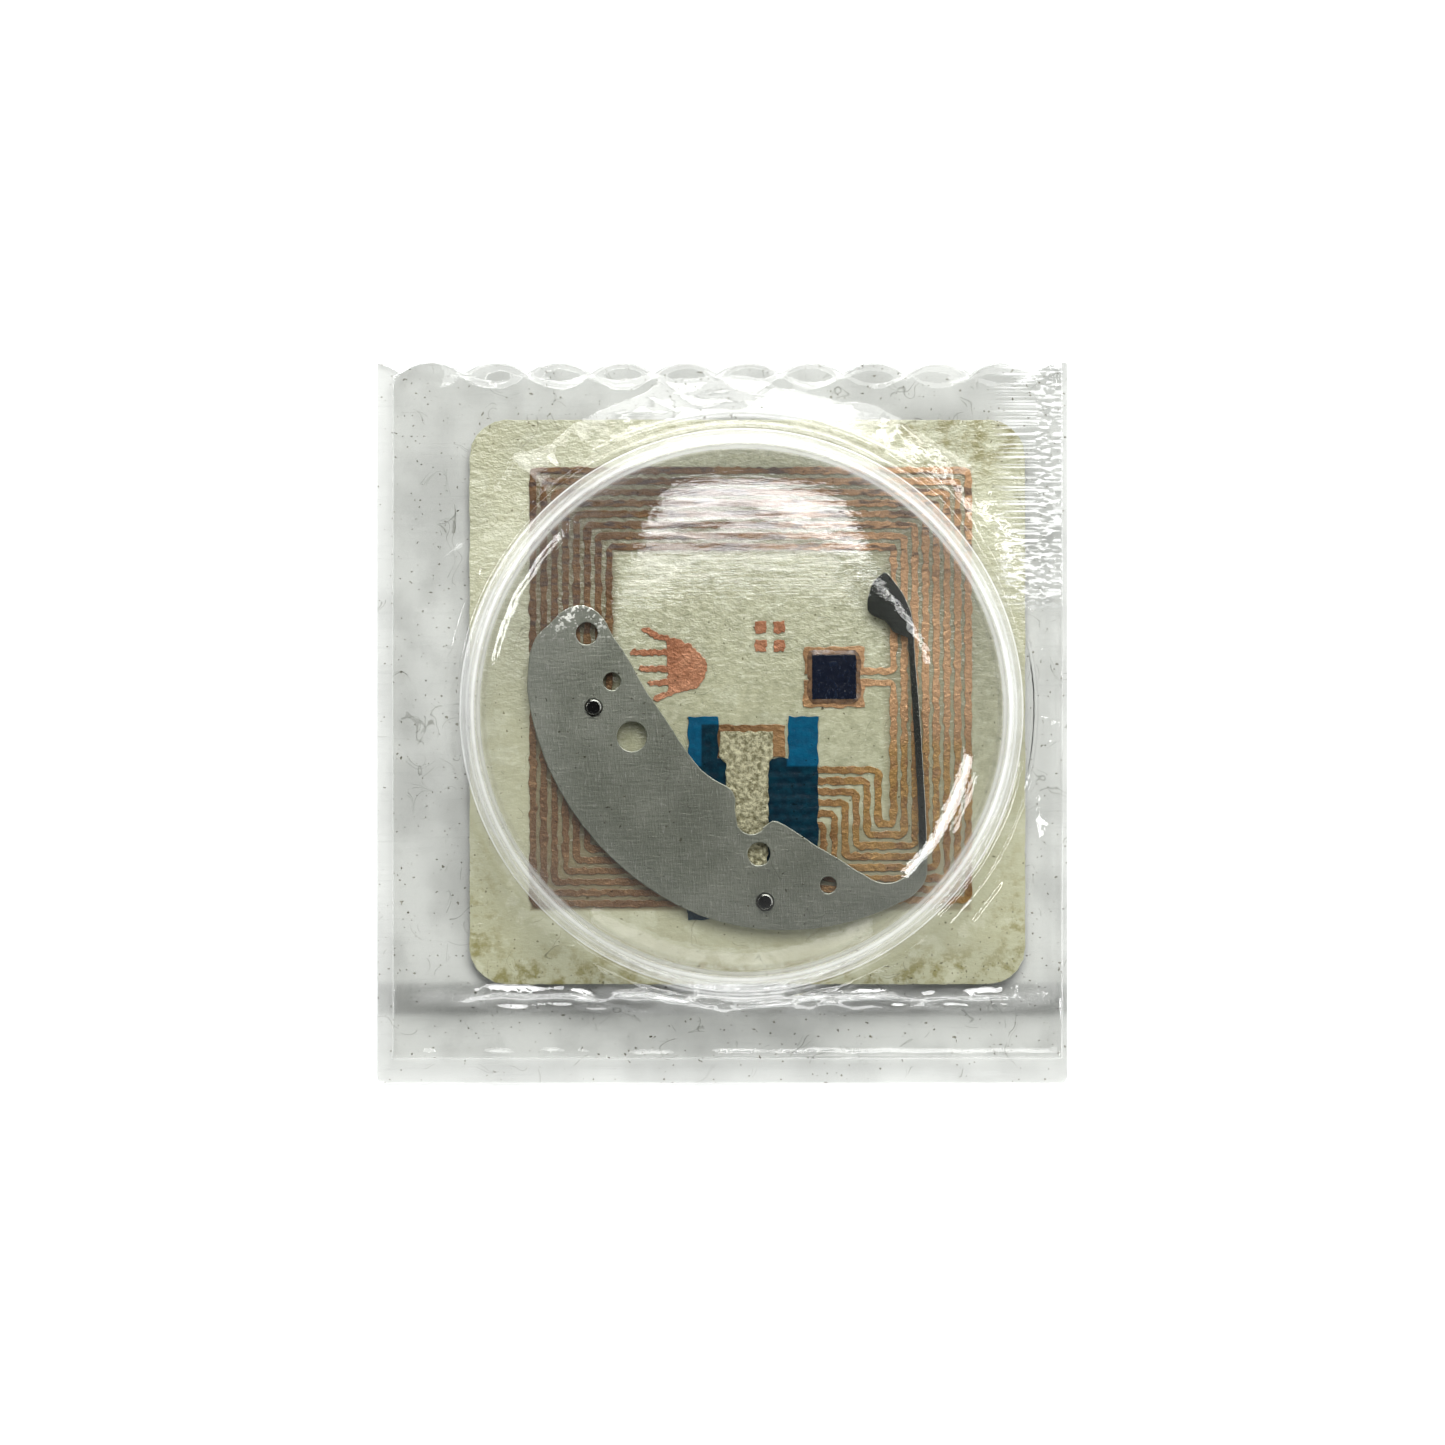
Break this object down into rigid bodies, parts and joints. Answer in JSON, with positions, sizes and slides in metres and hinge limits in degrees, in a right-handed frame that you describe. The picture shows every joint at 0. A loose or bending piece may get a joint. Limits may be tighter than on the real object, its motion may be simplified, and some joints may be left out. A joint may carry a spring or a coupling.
{
  "type": "blister-packed calendar plate with radio tag",
  "caption": "Clear domed blister pack holding a loose crescent-shaped steel calendar plate with a long spring arm, over a flat radio tag label with a copper spiral antenna.",
  "frame": {"origin": "middle of the pack's bounding box on the underside of the backing film", "axes": "+Z out through the dome, +Y towards the scalloped tear edge, +X to the right seen from the dome side"},
  "size_m": [0.031, 0.0324, 0.0059],
  "materials": {
    "clear_film": "clear glossy thermoformed sheet",
    "label_adhesive": "thin clear adhesive",
    "label_paper": "matte cream paper",
    "inlay_film": "thin clear film",
    "copper": "etched copper foil, satin, slightly tarnished",
    "underfill": "cured brown resin",
    "gold": "plated contact bump",
    "silicon": "polished dark silicon",
    "blue_ink": "printed blue insulating ink",
    "silver_ink": "granular silver conductive ink",
    "steel": "fine-grained grey stamped steel",
    "pin_steel": "dark polished steel"
  },
  "bodies": {
    "back_card": {"backing_film": "clear_film", "label_adhesive": "label_adhesive", "label_paper": "label_paper", "inlay_film": "inlay_film", "antenna_coil": "copper", "return_trace": "copper", "tuning_comb": "copper", "register_mark_1": "copper", "register_mark_2": "copper", "register_mark_3": "copper", "register_mark_4": "copper", "chip_underfill": "underfill", "chip_bump_upper": "gold", "chip_bump_lower": "gold", "chip_die": "silicon", "insulating_bridge": "blue_ink", "silver_jumper": "silver_ink"},
    "clear_shell": {"blister_shell": "clear_film"},
    "steel_plate": {"calendar_plate": "steel", "steady_pin_upper": "pin_steel", "steady_pin_lower": "pin_steel"},
    "spring": {"spring_arm": "steel"}
  },
  "joints": [
    {"name": "peel_open", "type": "hinge", "parent": "back_card", "child": "clear_shell", "pos_m": [0, 0.01625, 0.00026], "axis": [-1, 0, 0], "range_deg": [0, 115]},
    {"name": "plate_turn", "type": "hinge", "parent": "back_card", "child": "steel_plate", "pos_m": [0.00085, 0.00055, 0.00082], "axis": [0, 0, 1], "continuous": true},
    {"name": "jumper_flex", "type": "hinge", "parent": "steel_plate", "child": "spring", "pos_m": [0.009, -0.00615, 0.00095], "axis": [0, 0, 1], "range_deg": [-4, 4], "stiffness_Nm_per_rad": 0.002}
  ]
}
